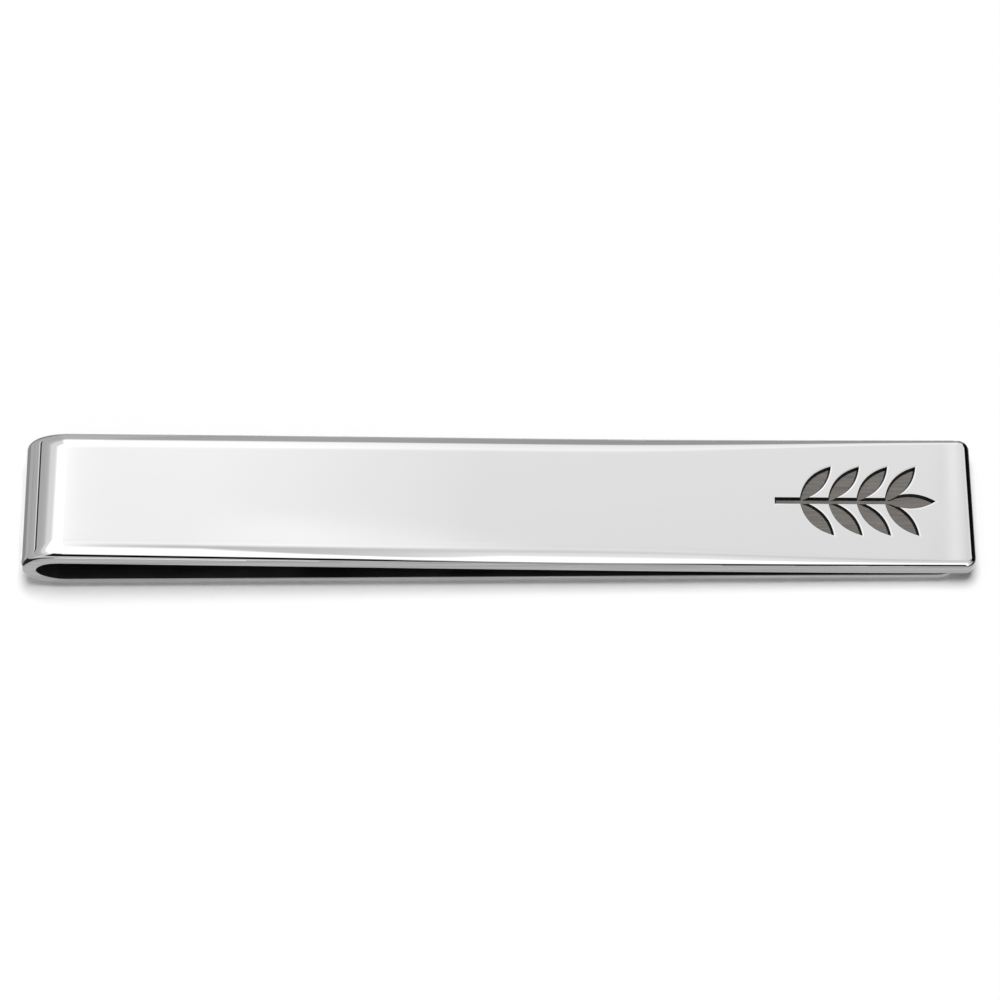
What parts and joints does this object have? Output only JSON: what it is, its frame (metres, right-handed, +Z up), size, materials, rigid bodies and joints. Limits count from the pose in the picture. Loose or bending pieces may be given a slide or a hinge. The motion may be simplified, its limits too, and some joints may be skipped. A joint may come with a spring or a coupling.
{
  "type": "tie bar",
  "caption": "Slide-on tie bar: a polished steel strip folded in two, whose springy mouth opens to grip a tie and a shirt front, with an engraved sprig near the tip.",
  "frame": {"origin": "on the table under the middle of the bar: centre of the bounding box in X and Y, underside of the back leaf in Z", "axes": "+X along the bar from the fold to the open mouth, +Y across it to the far edge, +Z up from the back leaf to the front bar"},
  "size_m": [0.0535, 0.0082, 0.0038],
  "materials": {
    "polished_steel": "mirror polished, with fine buffing lines",
    "dark_fill": "dull dark grey, grainy"
  },
  "bodies": {
    "leaf": {"back_leaf": "polished_steel"},
    "bar": {"front_bar": "polished_steel", "spring_fold": "polished_steel", "engraving_fill": "dark_fill"}
  },
  "joints": [
    {"name": "mouth_flex", "type": "hinge", "parent": "leaf", "child": "bar", "pos_m": [-0.0256, 0, 0.0019], "axis": [0, -1, 0], "range_deg": [0, 6], "stiffness_Nm_per_rad": 3.1}
  ]
}
